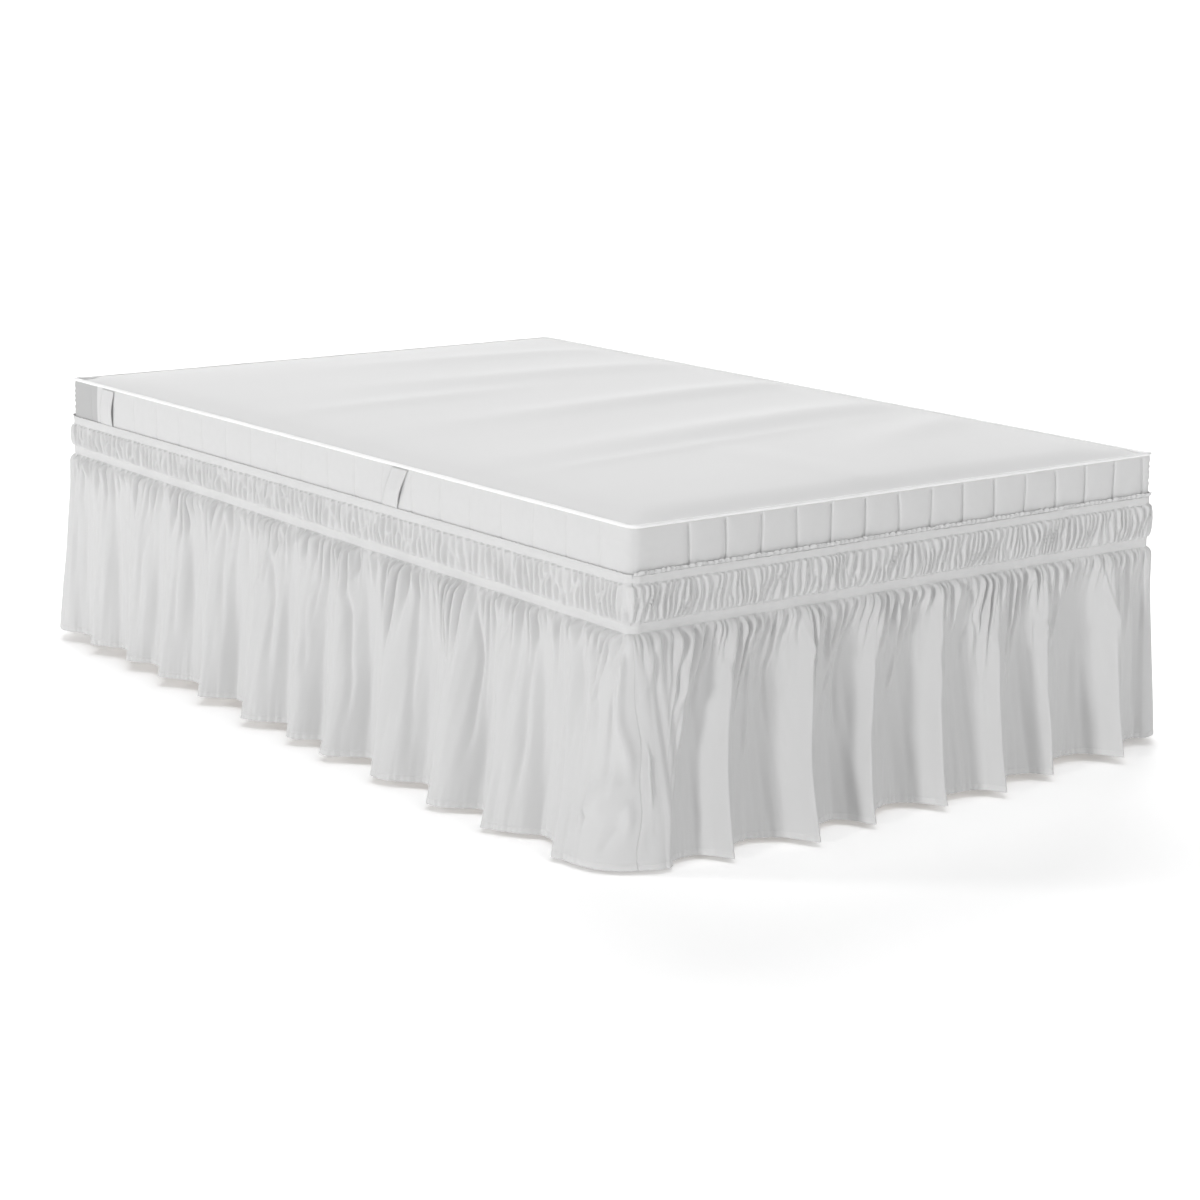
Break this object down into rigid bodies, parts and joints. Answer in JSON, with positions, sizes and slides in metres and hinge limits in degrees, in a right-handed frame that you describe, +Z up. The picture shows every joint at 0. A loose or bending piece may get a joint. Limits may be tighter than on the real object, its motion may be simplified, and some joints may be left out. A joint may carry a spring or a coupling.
{
  "type": "gathered bed skirt on mattress and bed frame",
  "caption": "White gathered wrap-around bed skirt held by elastic tapes on a mattress border, its ruffle falling in soft uneven folds to the floor round a plain bed frame.",
  "frame": {"origin": "on the floor under the middle of the bed", "axes": "+Z up, +Y along the bed from its foot to its head, +X across the bed to the right when seen from the foot"},
  "size_m": [1.598, 2.322, 0.6145],
  "materials": {
    "skirt_cloth": "matte white plain-weave microfibre, shirred and gathered",
    "elastic_tape": "smooth woven white elastic, slightly brighter than the cloth",
    "mattress_ticking": "matte off-white knitted ticking with sewn border channels",
    "mattress_piping": "satin white bias-covered piping",
    "frame_wood": "plain sanded pine"
  },
  "bodies": {
    "root": {"panel_foot": "skirt_cloth", "panel_left": "skirt_cloth", "panel_right": "skirt_cloth", "panel_head": "skirt_cloth", "tape_upper": "elastic_tape", "tape_lower": "elastic_tape", "mattress": "mattress_ticking", "piping": "mattress_piping", "handle_near": "mattress_ticking", "handle_far": "mattress_ticking", "bed_frame": "frame_wood", "leg_left_1": "frame_wood", "leg_left_2": "frame_wood", "leg_left_3": "frame_wood", "leg_right_1": "frame_wood", "leg_right_2": "frame_wood", "leg_right_3": "frame_wood"}
  },
  "joints": []
}
